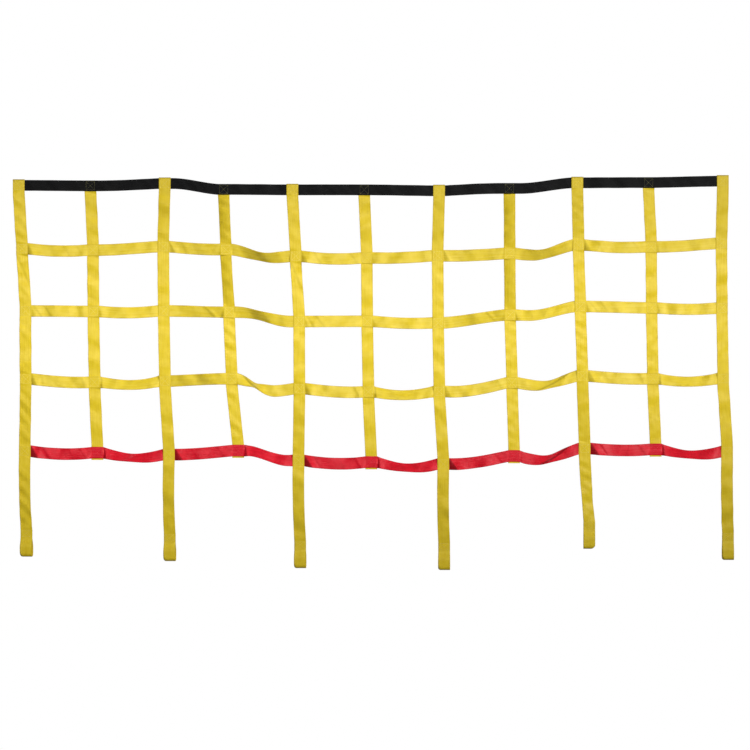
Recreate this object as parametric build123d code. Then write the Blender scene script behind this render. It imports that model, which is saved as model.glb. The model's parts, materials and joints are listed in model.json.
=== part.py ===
from build123d import *
import os
from math import acos, atan2, cos, degrees, hypot, sin

# A cargo climbing net of flat woven webbing, hanging from its black header strap.
# Millimetres. X runs along the header, Z is up and the climber's side is -Y.
# The origin is on the header strap's centre line, halfway along the header.

# Webbing
STRAP_WIDTH = 50.0
HEADER_WIDTH = 46.0
PLY = 2.0

# Layers through the net: the long uprights lie in front of the cross straps and the short ones behind.
FRONT_Y = -PLY
CROSS_Y = 0.0
REAR_Y = PLY

# The net hangs slack, so each crossing has its own place.
# Where each upright is sewn to the header, along X.
HEADER_X = (-1500, -1195, -878, -627, -334, -28, 291, 591, 880, 1184, 1500)

# How far each upright has moved sideways where it meets cross straps 1, 2 and 3 and the bottom strap.
DRIFT = (
    (14, 29, 30, 26),
    (11, 13, 18, 30),
    (-6, -4, 1, 18),
    (9, 23, 34, 62),
    (14, 29, 30, 26),
    (11, 13, 18, 30),
    (-6, -4, 1, 18),
    (1, 3, 11, 20),
    (5, 13, 22, 31),
    (11, 13, 18, 30),
    (-6, -4, 1, 18),
)

# Height of each horizontal strap's centre line at the eleven uprights.
HEADER_Z = (19, 17, 27, 2, 0, 0, -4, 6, 30, 31, 37)
CROSS_1_Z = (-251, -257, -242, -254, -283, -290, -281, -271, -235, -243, -228)
CROSS_2_Z = (-516, -518, -516, -521, -561, -560, -567, -533, -497, -503, -504)
CROSS_3_Z = (-806, -820, -815, -805, -847, -861, -859, -822, -793, -805, -804)
BOTTOM_Z = (-1113, -1120, -1128, -1111, -1153, -1160, -1168, -1134, -1102, -1106, -1115)

# How far each span between two uprights hangs below a straight line.
HEADER_SAG = (0, -4, 0, 0, 0, 0, -3, 0, 0, 0)
CROSS_1_SAG = (7, 2, 3, 12, 8, 4, 3, 9, 6, 3)
CROSS_2_SAG = (0, 7, 0, 6, 0, 5, 1, 4, 0, 6)
CROSS_3_SAG = (5, 15, -1, 18, 6, 15, 11, 14, 4, 13)
BOTTOM_SAG = (9, 20, 3, 4, 10, 22, 8, 21, 6, 20)
STRAIGHT = 1.5

# Half the length of the level patch that the stitching holds flat at each crossing.
FLAT_HALF = 27.0

# Hinge lines, where the webbing is free to bend.
SWING_Z = -38.0
SWING_GAP = 8.0
FOLD_Z = -678.0
FOLD_GAP = 10.0
TAIL_DROP = 31.0
TAIL_GAP = 6.0

# How far a short upright's cut end shows below the bottom strap.
END_SHOWS = 6.0

# Fold of a long upright over the header's top edge.
FOLD_CLEARANCE = 0.5

# Tails of the long uprights: the height of each end, and how far each leans towards +X as it hangs.
TAIL_END_Z = (-1563, -1582, -1612, -1620, -1530, -1577)
TAIL_LEAN = (1.0, 0.5, 1.0, 0.5, 3.0, 0.5)
EYE_RADIUS = 14.0
EYE_HEIGHT = 83.0
SEAM_HEIGHT = 33.0

# Box stitching with a cross in it
THREAD = 1.4
THREAD_PROUD = 0.5
PATCH = 38.0
SEAM_PATCH_HEIGHT = 27.0

UPRIGHTS = range(len(HEADER_X))
LONG = [n for n in UPRIGHTS if n % 2 == 0]


def crossing_xs(row):
    """Where the uprights meet a horizontal strap: row 0 is the header and row 4 is the bottom strap."""
    if row == 0:
        return [float(x) for x in HEADER_X]
    return [float(x + drift[row - 1]) for x, drift in zip(HEADER_X, DRIFT)]


def crossing_zs(row):
    """Heights of a horizontal strap's crossings."""
    return (HEADER_Z, CROSS_1_Z, CROSS_2_Z, CROSS_3_Z, BOTTOM_Z)[row]


def crossing_sags(row):
    """Sags of a horizontal strap's spans."""
    return (HEADER_SAG, CROSS_1_SAG, CROSS_2_SAG, CROSS_3_SAG, BOTTOM_SAG)[row]


def layer_y(upright):
    """Middle of the layer that an upright hangs in."""
    return FRONT_Y if upright in LONG else REAR_Y


def band_edge(row, half_width, y):
    """One long edge of a horizontal strap: level at each crossing, an arc along each sagging span."""
    xs, zs, sags = crossing_xs(row), crossing_zs(row), crossing_sags(row)
    last = len(xs) - 1
    edges = []
    for n in UPRIGHTS:
        left = xs[n] - (STRAP_WIDTH / 2 if n == 0 else FLAT_HALF)
        right = xs[n] + (STRAP_WIDTH / 2 if n == last else FLAT_HALF)
        z = zs[n] + half_width
        edges.append(Line((left, y, z), (right, y, z)))
        if n < last:
            start = (right, y, z)
            end = (xs[n + 1] - FLAT_HALF, y, zs[n + 1] + half_width)
            middle = ((start[0] + end[0]) / 2, y, (start[2] + end[2]) / 2 - sags[n])
            arc = abs(sags[n]) > STRAIGHT
            edges.append(ThreePointArc(start, middle, end) if arc else Line(start, end))
    return edges


def horizontal_strap(row, width):
    """A whole strap across the net, cut square and flush with the outer uprights."""
    y = CROSS_Y - PLY / 2
    upper = band_edge(row, width / 2, y)
    lower = band_edge(row, -width / 2, y)
    left = Line(upper[0] @ 0, lower[0] @ 0)
    right = Line(upper[-1] @ 1, lower[-1] @ 1)
    face = make_face([*upper, right, *lower, left])
    return extrude(face, PLY, dir=(0, 1, 0))


def upright_strap(points, upright):
    """A length of an upright along its centre points, given as X, Z pairs from the top down."""
    y = layer_y(upright) - PLY / 2
    half = STRAP_WIDTH / 2
    left = [(x - half, y, z) for x, z in points]
    right = [(x + half, y, z) for x, z in reversed(points)]
    face = make_face(Polyline(*left, *right, close=True))
    return extrude(face, PLY, dir=(0, 1, 0))


def between(a, b, z):
    """The X at which the straight line between two points is at height z."""
    return a[0] + (b[0] - a[0]) * (z - a[1]) / (b[1] - a[1])


def crossing(row, upright):
    """Centre of one crossing, as X and Z."""
    return crossing_xs(row)[upright], float(crossing_zs(row)[upright])


def flat_points(row, upright):
    """The two ends of the length of upright that is sewn flat at a crossing."""
    x, z = crossing(row, upright)
    return [(x, z + FLAT_HALF), (x, z - FLAT_HALF)]


def fold_x(upright):
    """Where an upright crosses the fold line."""
    return between(flat_points(2, upright)[1], flat_points(3, upright)[0], FOLD_Z)


def strap_top(upright):
    """The sewn top of an upright: a long one wraps over the header, a short one stops behind it."""
    x, z = crossing(0, upright)
    low = SWING_Z + SWING_GAP / 2
    top = z + HEADER_WIDTH / 2
    if upright not in LONG:
        return upright_strap([(x, top), (x, low)], upright)
    inner, outer = PLY / 2, PLY * 3 / 2
    bend = top + FOLD_CLEARANCE
    left = x - STRAP_WIDTH / 2
    tab = z - HEADER_WIDTH / 2
    profile = [
        Line((left, -outer, low), (left, -outer, bend)),
        ThreePointArc((left, -outer, bend), (left, 0, bend + outer), (left, outer, bend)),
        Line((left, outer, bend), (left, outer, tab)),
        Line((left, outer, tab), (left, inner, tab)),
        Line((left, inner, tab), (left, inner, bend)),
        ThreePointArc((left, inner, bend), (left, 0, bend + inner), (left, -inner, bend)),
        Line((left, -inner, bend), (left, -inner, low)),
        Line((left, -inner, low), (left, -outer, low)),
    ]
    return extrude(make_face(profile), STRAP_WIDTH, dir=(1, 0, 0))


def strap_upper(upright):
    """The length of an upright that carries cross straps 1 and 2."""
    start = (float(HEADER_X[upright]), SWING_Z - SWING_GAP / 2)
    end = (fold_x(upright), FOLD_Z + FOLD_GAP / 2)
    return upright_strap([start, *flat_points(1, upright), *flat_points(2, upright), end], upright)


def strap_lower(upright):
    """The length of an upright that carries cross strap 3 and the bottom strap."""
    start = (fold_x(upright), FOLD_Z - FOLD_GAP / 2)
    x, z = crossing(4, upright)
    end = z - TAIL_DROP + TAIL_GAP / 2 if upright in LONG else z - STRAP_WIDTH / 2 - END_SHOWS
    level = [(x, z + FLAT_HALF), (x, end)]
    return upright_strap([start, *flat_points(3, upright), *level], upright)


def tail_hinge(upright):
    """Centre of the line where a tail bends below the bottom strap, as X and Z."""
    x, z = crossing(4, upright)
    return x, z - TAIL_DROP


def eye_centre_z(upright):
    """Height of the centre of the round bottom of a tail's eye."""
    return TAIL_END_Z[LONG.index(upright)] + EYE_RADIUS + PLY


def teardrop(radius, half_neck, neck_z, centre_z):
    """Face in the YZ plane: a circle with straight sides drawn in to a neck above it."""
    reach = hypot(half_neck, neck_z - centre_z)
    angle = atan2(neck_z - centre_z, half_neck) - acos(radius / reach)
    right = (0, radius * cos(angle), centre_z + radius * sin(angle))
    left = (0, -right[1], right[2])
    neck = (Line((0, half_neck, neck_z), (0, -half_neck, neck_z)),) if half_neck > 0 else ()
    sides = [
        Line((0, -half_neck, neck_z), left),
        ThreePointArc(left, (0, 0, centre_z - radius), right),
        Line(right, (0, half_neck, neck_z)),
    ]
    return make_face([*neck, *sides])


def tail(upright):
    """A long upright's free tail: one ply, then a sewn seam of two, then an open eye."""
    x, hinge_z = tail_hinge(upright)
    end_z = TAIL_END_Z[LONG.index(upright)]
    seam_low = end_z + EYE_HEIGHT
    seam_top = seam_low + SEAM_HEIGHT
    centre_z = eye_centre_z(upright)
    outer = teardrop(EYE_RADIUS + PLY, PLY, seam_low, centre_z)
    inner = teardrop(EYE_RADIUS, 0, seam_low, centre_z)
    eye = extrude(outer - inner, STRAP_WIDTH, dir=(1, 0, 0))
    size = (STRAP_WIDTH, PLY * 2, SEAM_HEIGHT)
    seam = Pos(STRAP_WIDTH / 2, 0, (seam_low + seam_top) / 2) * Box(*size)
    top = hinge_z - TAIL_GAP / 2
    strap = Pos(STRAP_WIDTH / 2, -PLY / 2, (seam_top + top) / 2) * Box(STRAP_WIDTH, PLY, top - seam_top)
    whole = Pos(-STRAP_WIDTH / 2, 0, -hinge_z) * (eye + seam + strap)
    return hang_tail(whole, upright)


def hang_tail(shape, upright):
    """Place a shape drawn under the origin where an upright's tail hangs, with its lean."""
    x, hinge_z = tail_hinge(upright)
    lean = TAIL_LEAN[LONG.index(upright)]
    return Pos(x, FRONT_Y + PLY / 2, hinge_z) * Rot(0, -lean, 0) * shape


def box_stitch(width, height):
    """A flat rectangle of thread with a cross in it, facing -Y, on the plane y = 0."""
    ring = Rectangle(width, height) - Rectangle(width - 2 * THREAD, height - 2 * THREAD)
    slope = degrees(atan2(height, width))
    bar = Rectangle(hypot(width, height), THREAD)
    bars = (Rot(0, 0, slope) * bar + Rot(0, 0, -slope) * bar) & Rectangle(width, height)
    return Plane.XZ * extrude(ring + bars, THREAD_PROUD)


def crossing_stitches(row):
    """Front and back thread of every crossing of one horizontal strap."""
    patch = box_stitch(PATCH, PATCH)
    behind = Rot(0, 0, 180) * patch
    solids = []
    for upright in UPRIGHTS:
        x, z = crossing(row, upright)
        front_y = CROSS_Y - PLY / 2
        rear_y = CROSS_Y + PLY / 2
        if upright in LONG:
            front_y = FRONT_Y - PLY / 2
            rear_y = REAR_Y + PLY / 2 if row == 0 else rear_y
        else:
            rear_y = REAR_Y + PLY / 2
        solids.append(Pos(x, front_y, z) * patch)
        solids.append(Pos(x, rear_y, z) * behind)
    return solids


def seam_stitches(upright):
    """Front and back thread of the seam above a tail's eye."""
    patch = box_stitch(PATCH, SEAM_PATCH_HEIGHT)
    middle_z = TAIL_END_Z[LONG.index(upright)] + EYE_HEIGHT + SEAM_HEIGHT / 2
    below = middle_z - tail_hinge(upright)[1]
    front = Pos(0, -PLY, below) * patch
    back = Pos(0, PLY, below) * Rot(0, 0, 180) * patch
    return [hang_tail(front, upright), hang_tail(back, upright)]


def save(name, shapes):
    """Write one node's solids to its STEP file."""
    solids = shapes if isinstance(shapes, list) else [shapes]
    whole = Compound(children=[solid for shape in solids for solid in shape.solids()])
    export_step(whole if len(whole.solids()) > 1 else whole.solids()[0], f"parts/{name}.step")


def build_net():
    """Write every piece of the net."""
    os.makedirs("parts", exist_ok=True)
    save("header_strap", horizontal_strap(0, HEADER_WIDTH))
    for row, name in enumerate(("cross_strap_1", "cross_strap_2", "cross_strap_3", "bottom_strap"), 1):
        save(name, horizontal_strap(row, STRAP_WIDTH))
    for upright in UPRIGHTS:
        save(f"strap_{upright + 1:02d}_top", strap_top(upright))
        save(f"strap_{upright + 1:02d}_upper", strap_upper(upright))
        save(f"strap_{upright + 1:02d}_lower", strap_lower(upright))
    for upright in LONG:
        save(f"tail_{upright + 1:02d}", tail(upright))
        save(f"tail_{upright + 1:02d}_stitching", seam_stitches(upright))
    for row, name in enumerate(("header", "cross_1", "cross_2", "cross_3", "bottom")):
        save(f"{name}_stitching", crossing_stitches(row))


build_net()
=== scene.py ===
import json
import logging
import math
from dataclasses import dataclass, field, replace
from enum import Enum
from typing import Any, Sequence

import bpy
import numpy as np
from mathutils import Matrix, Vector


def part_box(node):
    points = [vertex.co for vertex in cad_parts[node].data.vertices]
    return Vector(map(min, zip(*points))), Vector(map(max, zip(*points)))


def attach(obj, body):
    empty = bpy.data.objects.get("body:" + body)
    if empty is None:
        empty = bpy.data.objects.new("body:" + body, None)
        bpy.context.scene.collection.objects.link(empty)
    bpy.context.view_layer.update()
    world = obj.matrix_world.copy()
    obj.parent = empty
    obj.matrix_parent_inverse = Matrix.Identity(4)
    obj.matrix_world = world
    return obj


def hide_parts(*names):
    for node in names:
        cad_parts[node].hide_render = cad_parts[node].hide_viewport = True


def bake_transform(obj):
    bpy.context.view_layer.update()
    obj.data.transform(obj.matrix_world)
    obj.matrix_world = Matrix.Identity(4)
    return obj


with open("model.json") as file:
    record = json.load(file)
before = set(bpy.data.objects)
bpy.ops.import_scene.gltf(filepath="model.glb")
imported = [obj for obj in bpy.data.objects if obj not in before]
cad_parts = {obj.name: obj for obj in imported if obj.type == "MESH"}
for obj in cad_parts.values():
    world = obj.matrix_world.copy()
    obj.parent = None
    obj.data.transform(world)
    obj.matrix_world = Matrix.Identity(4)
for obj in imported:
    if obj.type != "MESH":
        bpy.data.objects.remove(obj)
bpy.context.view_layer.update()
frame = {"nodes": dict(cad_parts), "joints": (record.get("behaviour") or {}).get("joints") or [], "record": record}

# The net hangs in the XZ plane, with its climber's side towards -Y. Sizes in this file are millimetres, and
# every mesh is written in metres.
MM = 0.001
TURN = 2 * math.pi
LOG = logging.getLogger("cargo_net")

Colour = tuple[float, float, float]


class Face(Enum):
    """The two sides of the net that thread shows on."""

    FRONT = "front"
    REAR = "rear"


class Lie(Enum):
    """Where an upright lies: in front of the cross straps and long, or behind them and short."""

    FRONT = "front"
    REAR = "rear"


def add_object(name: str, data: Any) -> bpy.types.Object:
    """Put a new object with that data in the scene, at the origin."""
    made = bpy.data.objects.new(name, data)
    bpy.context.scene.collection.objects.link(made)
    return made


def rgba(colour: Colour, share: float = 1.0) -> tuple[float, ...]:
    """A colour, darkened to a share of itself, with full alpha."""
    return tuple(share * channel for channel in colour) + (1.0,)


# ---- Shader graphs ----


class Shade:
    """One value in a material, so that shader maths is written as arithmetic."""

    def __init__(self, graph: "Graph", socket: bpy.types.NodeSocket) -> None:
        """Keep an output socket that carries one number, and the graph that it belongs to."""
        self.graph = graph
        self.socket = socket

    def _maths(self, operation: str, *values: Any) -> "Shade":
        """The result of one Math node on one or two values."""
        return self.graph.value("ShaderNodeMath", {"operation": operation}, dict(enumerate(values)))

    def __add__(self, other: Any) -> "Shade":
        """This value plus another."""
        return self._maths("ADD", self, other)

    def __sub__(self, other: Any) -> "Shade":
        """This value less another."""
        return self._maths("SUBTRACT", self, other)

    def __rsub__(self, other: Any) -> "Shade":
        """Another value less this one."""
        return self._maths("SUBTRACT", other, self)

    def __mul__(self, other: Any) -> "Shade":
        """This value times another."""
        return self._maths("MULTIPLY", self, other)

    def __truediv__(self, other: Any) -> "Shade":
        """This value over another."""
        return self._maths("DIVIDE", self, other)

    def size(self) -> "Shade":
        """This value without its sign."""
        return self._maths("ABSOLUTE", self)

    def sine(self) -> "Shade":
        """The sine of this value, in radians."""
        return self._maths("SINE", self)

    def ramp(self, low: float, high: float) -> "Shade":
        """A smooth step of this value: 0 below low, and 1 above high."""
        settings = {"interpolation_type": "SMOOTHSTEP"}
        return self.graph.value("ShaderNodeMapRange", settings, {0: self, 1: low, 2: high, 3: 0.0, 4: 1.0})


class Graph:
    """The node tree of one material."""

    def __init__(self, name: str) -> None:
        """Start an empty material of that name."""
        self.material = bpy.data.materials.new(name)
        self.material.use_nodes = True
        self.tree = self.material.node_tree
        self.tree.nodes.clear()

    def node(self, kind: str, settings: dict, inputs: dict) -> bpy.types.Node:
        """Add a node of any kind.

        Args:
            kind: the node's type.
            settings: its own settings, which are set first.
            inputs: socket name or number to a value, a Shade or an output socket.

        Returns:
            The node.
        """
        made = self.tree.nodes.new(kind)
        for key, value in settings.items():
            setattr(made, key, value)
        for key, value in inputs.items():
            if isinstance(value, Shade):
                self.tree.links.new(value.socket, made.inputs[key])
            elif isinstance(value, bpy.types.NodeSocket):
                self.tree.links.new(value, made.inputs[key])
            else:
                made.inputs[key].default_value = value
        return made

    def value(self, kind: str, settings: dict, inputs: dict) -> Shade:
        """Add a node and take its first output as a number."""
        return Shade(self, self.node(kind, settings, inputs).outputs[0])

    def mark(self, name: str) -> Shade:
        """A named value that the mesh carries at its points."""
        return Shade(self, self.node("ShaderNodeAttribute", {"attribute_name": name}, {}).outputs["Fac"])

    def blend(self, factor: Any, first: Any, second: Any) -> bpy.types.NodeSocket:
        """Mix two colours, each a value or a socket. The factor is the share of the second."""
        mixed = self.node("ShaderNodeMix", {"data_type": "RGBA"}, {0: factor, 6: first, 7: second})
        return mixed.outputs[2]

    def noise(self, place: bpy.types.NodeSocket, scale: float, detail: float) -> Shade:
        """Cloudy noise between 0 and 1, with its scale in features to the metre."""
        inputs = {"Vector": place, "Scale": scale, "Detail": detail, "Roughness": 0.55}
        return self.value("ShaderNodeTexNoise", {}, inputs)

    def finish(self, constants: dict, varying: dict) -> bpy.types.Material:
        """Close the graph with a Principled shader, from its constant sockets and those that vary."""
        shader = self.node("ShaderNodeBsdfPrincipled", {}, {**constants, **varying})
        self.node("ShaderNodeOutputMaterial", {}, {"Surface": shader.outputs[0]})
        return self.material


@dataclass(frozen=True)
class WebbingFinish:
    """Satin woven polyester webbing, patterned along its own length by its UV map, which is in metres."""

    name: str
    body: Colour
    deep: Colour
    bright: Colour
    # How dark the band beside each selvedge is: partly the selvedge's own tone, partly painted shade of the rounded
    # edge.
    edge_tone_and_shade: float = 0.24
    rib_depth: float = 0.14
    streak_depth: float = 0.3
    roughness: float = 0.46
    specular: float = 0.26
    sheen: float = 0.015
    width: float = 50.0
    rib_pitch: float = 6.25
    warp_pitch: float = 1.25
    weft_pitch: float = 1.1
    selvedge: float = 2.6
    sewn_light: float = 0.05
    # How strongly painted shade darkens the tops of folds and the slopes before creases.
    painted_fold_shade_strength: float = 0.5
    # Painted sheen: the lighter colour that the spans of cross straps are blended towards, and how far, for the
    # satin highlight of level webbing.
    painted_sheen_colour: Colour = (0.84, 0.71, 0.17)
    painted_sheen_share: float = 0.2

    # Features to the metre of each noise, and how much longer than wide a streak is.
    CLOUD_SCALE = 28.0
    STREAK_SCALE = 7.0
    STREAK_STRETCH = 24.0
    FUZZ_SCALE = 1400.0
    # Where each pattern fades in: of its noise, and in millimetres past the selvedge's inner line.
    CLOUD_RAMP = (0.32, 0.7)
    STREAK_RAMP = (0.36, 0.66)
    SELVEDGE_RAMP = (-0.8, 1.2)
    # How much of the next colour each pattern brings in at most: clouds of random tone, painted shade in the hollows
    # of ribs and weave, and painted sheen in long streaks.
    CLOUD_SHARE = 0.45
    PAINTED_HOLLOW_SHADE = 0.3
    PAINTED_SHEEN_STREAK_SHARE = 0.22
    PAINTED_WEAVE_SHADE = 0.18
    # The deep colour's share in the dark beside the selvedges, which is partly their own tone and partly painted
    # shade of the rounded edges, and in the painted shade on folds.
    EDGE_SHADE = 0.45
    PAINTED_FOLD_SHADE_TONE = 0.2
    # How much the fuzz and the clouds roughen the surface, and what that takes off its roughness elsewhere.
    FUZZ_ROUGH = 0.16
    CLOUD_ROUGH = 0.08
    MEAN_ROUGH = 0.12
    # Heights in the bumps: ribs in millimetres, and weave and fuzz as shares of the fine bump's distance.
    RIB_HEIGHT = 0.4
    WEAVE_HEIGHT = 0.3
    FUZZ_HEIGHT = 0.2
    FINE_DISTANCE = 0.6
    FINE_STRENGTH = 0.35

    def _patterns(self, graph: Graph) -> dict[str, Shade]:
        """The patterns that colour, roughness and height share, each between 0 and 1.

        Ribs run along the webbing, and the weave is a warp sine times a weft sine. Clouds, streaks and fuzz
        are noise, which for streaks is drawn out along the webbing. The edge is a band beside each selvedge,
        and the other three are marks that the mesh carries.

        Args:
            graph: the material's graph.

        Returns:
            The patterns by name.
        """
        uv = graph.node("ShaderNodeUVMap", {"uv_map": "webbing"}, {}).outputs[0]
        parts = graph.node("ShaderNodeSeparateXYZ", {}, {0: uv})
        across, along = (Shade(graph, parts.outputs[axis]) / MM for axis in (0, 1))
        warp = (across * (TURN / self.warp_pitch)).sine()
        weft = (along * (TURN / self.weft_pitch)).sine()
        scale = (self.STREAK_STRETCH, 1.0, 1.0)
        stretched = graph.node("ShaderNodeMapping", {}, {"Vector": uv, "Scale": scale}).outputs[0]
        past = (across - self.width / 2).size() - (self.width / 2 - self.selvedge)
        return {
            "ribs": (across * (TURN / self.rib_pitch)).sine() * 0.5 + 0.5,
            "weave": warp * weft * 0.5 + 0.5,
            "clouds": graph.noise(uv, self.CLOUD_SCALE, 3.0).ramp(*self.CLOUD_RAMP),
            "streaks": graph.noise(stretched, self.STREAK_SCALE, 2.0).ramp(*self.STREAK_RAMP),
            "fuzz": graph.noise(uv, self.FUZZ_SCALE, 2.0),
            "edge": past.ramp(*self.SELVEDGE_RAMP),
            **{name: graph.mark(name) for name in ("sewn", "painted_fold_shade", "painted_sheen_and_shade")},
        }

    def _colour(self, graph: Graph, pattern: dict[str, Shade]) -> bpy.types.NodeSocket:
        """Lay one colour after another over the body colour.

        It is deepened in cloudy patches of random tone and by painted shade in the hollows of ribs and weave,
        lightened by painted sheen in long streaks and on the spans of cross straps, brightened under thread,
        darkened beside both selvedges by their own tone and by painted shade of the rounded edges, and darkened by
        painted shade on the tops of folds and on the slopes before creases.

        Args:
            graph: the material's graph.
            pattern: the patterns by name.

        Returns:
            The colour's socket.
        """
        deep, bright = rgba(self.deep), rgba(self.bright)
        layers = (
            (pattern["clouds"] * self.CLOUD_SHARE, deep),
            # Painted shade in the hollows of the ribs.
            ((1 - pattern["ribs"]) * self.PAINTED_HOLLOW_SHADE * self.rib_depth, deep),
            # Painted sheen in long streaks along the webbing.
            (pattern["streaks"] * self.PAINTED_SHEEN_STREAK_SHARE, bright),
            # Painted shade in the hollows of the weave.
            ((1 - pattern["weave"]) * self.PAINTED_WEAVE_SHADE, deep),
            # Painted sheen on the spans of cross straps, stronger in the long streaks.
            (pattern["painted_sheen_and_shade"] * (pattern["streaks"] * 0.8 + 0.2) * self.painted_sheen_share, rgba(self.painted_sheen_colour)),
            (pattern["sewn"] * self.sewn_light, bright),
            # Beside the selvedges: their own darker tone, and painted shade of the rounded edges.
            (pattern["edge"] * self.edge_tone_and_shade, rgba(self.deep, self.EDGE_SHADE)),
            # Painted shade on the tops of folds and on the slopes before creases.
            (pattern["painted_fold_shade"] * self.painted_fold_shade_strength, rgba(self.deep, self.PAINTED_FOLD_SHADE_TONE)),
        )
        base = rgba(self.body)
        for share, colour in layers:
            base = graph.blend(share, base, colour)
        return base

    def _normal(self, graph: Graph, pattern: dict[str, Shade]) -> bpy.types.NodeSocket:
        """The bumps: broad ribs and streaks, and on them a fine weave with a little fuzz."""
        broad = pattern["ribs"] * (self.RIB_HEIGHT * self.rib_depth) + pattern["streaks"] * self.streak_depth
        ridged = graph.node("ShaderNodeBump", {}, {"Strength": 1.0, "Distance": MM, "Height": broad})
        fine = pattern["weave"] * self.WEAVE_HEIGHT + pattern["fuzz"] * self.FUZZ_HEIGHT
        inputs = {"Strength": self.FINE_STRENGTH, "Distance": self.FINE_DISTANCE * MM, "Height": fine}
        return graph.node("ShaderNodeBump", {}, {**inputs, "Normal": ridged.outputs[0]}).outputs[0]

    def material(self) -> bpy.types.Material:
        """Build the finish."""
        graph = Graph(self.name)
        pattern = self._patterns(graph)
        rough = pattern["fuzz"] * self.FUZZ_ROUGH + pattern["clouds"] * self.CLOUD_ROUGH
        constants = {
            "Specular IOR Level": self.specular,
            "Sheen Weight": self.sheen,
            "Sheen Roughness": 0.45,
            "Sheen Tint": rgba(self.bright),
        }
        varying = {
            "Base Color": self._colour(graph, pattern),
            "Roughness": rough + (self.roughness - self.MEAN_ROUGH),
            "Normal": self._normal(graph, pattern),
        }
        return graph.finish(constants, varying)


@dataclass(frozen=True)
class ThreadFinish:
    """Twisted polyester sewing thread."""

    name: str
    body: Colour
    roughness: float = 0.55
    grain_scale: float = 900.0
    twist_shade: float = 0.6
    twist_share: float = 0.6

    def material(self) -> bpy.types.Material:
        """Build the finish: the body colour, darker in the fine twist between the plies."""
        graph = Graph(self.name)
        place = graph.node("ShaderNodeTexCoord", {}, {}).outputs["Object"]
        grain = graph.noise(place, self.grain_scale, 2.0).ramp(0.3, 0.7)
        base = graph.blend(grain * self.twist_share, rgba(self.body), rgba(self.body, self.twist_shade))
        bump = graph.node("ShaderNodeBump", {}, {"Strength": 0.3, "Distance": 0.2 * MM, "Height": grain})
        varying = {"Base Color": base, "Roughness": grain * 0.15 + self.roughness, "Normal": bump.outputs[0]}
        return graph.finish({"Specular IOR Level": 0.3, "Sheen Weight": 0.1}, varying)


YELLOW = WebbingFinish("webbing_yellow", (0.795, 0.590, 0.018), (0.66, 0.455, 0.006), (0.88, 0.71, 0.065))
BLACK = WebbingFinish(
    "webbing_black",
    (0.0055, 0.0055, 0.0057),
    (0.004, 0.004, 0.0042),
    (0.009, 0.009, 0.0094),
    edge_tone_and_shade=0.5,
    roughness=0.6,
    specular=0.1,
    sheen=0.0,
    width=46.0,
    rib_pitch=5.75,
    painted_sheen_share=0.0,
)
RED = WebbingFinish(
    "webbing_red",
    (0.78, 0.006, 0.022),
    (0.52, 0.003, 0.010),
    (0.92, 0.030, 0.060),
    roughness=0.40,
    specular=0.22,
    sheen=0.0,
    streak_depth=0.55,
    painted_sheen_share=0.0,
)
OLIVE_THREAD = ThreadFinish("thread_olive", (0.23, 0.215, 0.08))
YELLOW_THREAD = ThreadFinish("thread_yellow", (0.88, 0.73, 0.18))
RED_THREAD = ThreadFinish("thread_red", (0.72, 0.05, 0.07))

# ---- Places, read from the frame ----


def node_points(name: str) -> np.ndarray:
    """All points of a CAD node at rest, in millimetres, one row each."""
    mesh = frame["nodes"][name].data
    flat = np.zeros(len(mesh.vertices) * 3, np.float32)
    mesh.vertices.foreach_get("co", flat)
    return flat.reshape(-1, 3).astype(float) / MM


class NetPlan:
    """Where everything is sewn, in millimetres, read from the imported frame."""

    ROWS = ("header", "cross_1", "cross_2", "cross_3", "bottom")
    PATCH_GAP = 100.0

    def __init__(self) -> None:
        """Read every crossing, tail hinge and eye."""
        self.crossings = np.array([self._row(name) for name in self.ROWS])
        self.count = self.crossings.shape[1]
        self.hinges = {j["child"]: np.array(j["pos_m"]) / MM for j in frame["joints"]}
        mounts = frame["record"]["mounts"]
        self.eyes = {m["name"]: np.array(m["pos_m"]) / MM for m in mounts if m["name"].endswith("_eye")}
        self.eye_radius = next(m["dims"]["r_mm"] for m in mounts if m["name"].endswith("_eye"))

    def _row(self, name: str) -> np.ndarray:
        """X and Z of each crossing's centre in one row, from left to right, found from its stitching."""
        points = node_points(f"{name}_stitching")
        points = points[np.argsort(points[:, 0])]
        breaks = np.nonzero(np.diff(points[:, 0]) > self.PATCH_GAP)[0] + 1
        patches = np.split(points, breaks)
        return np.array([(p.min(0)[[0, 2]] + p.max(0)[[0, 2]]) / 2 for p in patches])

    def lie(self, upright: int) -> Lie:
        """Odd uprights, counted from 1, are the long ones in front."""
        return Lie.FRONT if upright % 2 == 1 else Lie.REAR

    def crossing(self, row: int, upright: int) -> np.ndarray:
        """X and Z of one crossing. Row 0 is the header, and uprights count from 1."""
        return self.crossings[row, upright - 1]


# ---- Webbing surfaces ----


@dataclass(frozen=True)
class Crease:
    """A soft fold line that crosses the webbing aslant, with a dark slope before it, deepened by painted shade, and
    a bright one after.

    Attributes:
        start: where it starts, on the lower edge of a cross strap or the left edge of an upright, in
            millimetres from the first patch. A negative place is measured back from the second.
        end: where it ends, on the other edge, measured in the same way.
        heights: how far it stands out at those two edges, in millimetres.
        before: how long the slope up to it is.
        after: how long the slope down from it is.
        painted_sheen_and_shade: how much painted shade darkens the slope before it, from 0 to 1.
    """

    start: float
    end: float
    heights: tuple[float, float]
    before: float = 40.0
    after: float = 45.0
    # How much painted shade darkens the slope before the line.
    painted_sheen_and_shade: float = 0.8


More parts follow.
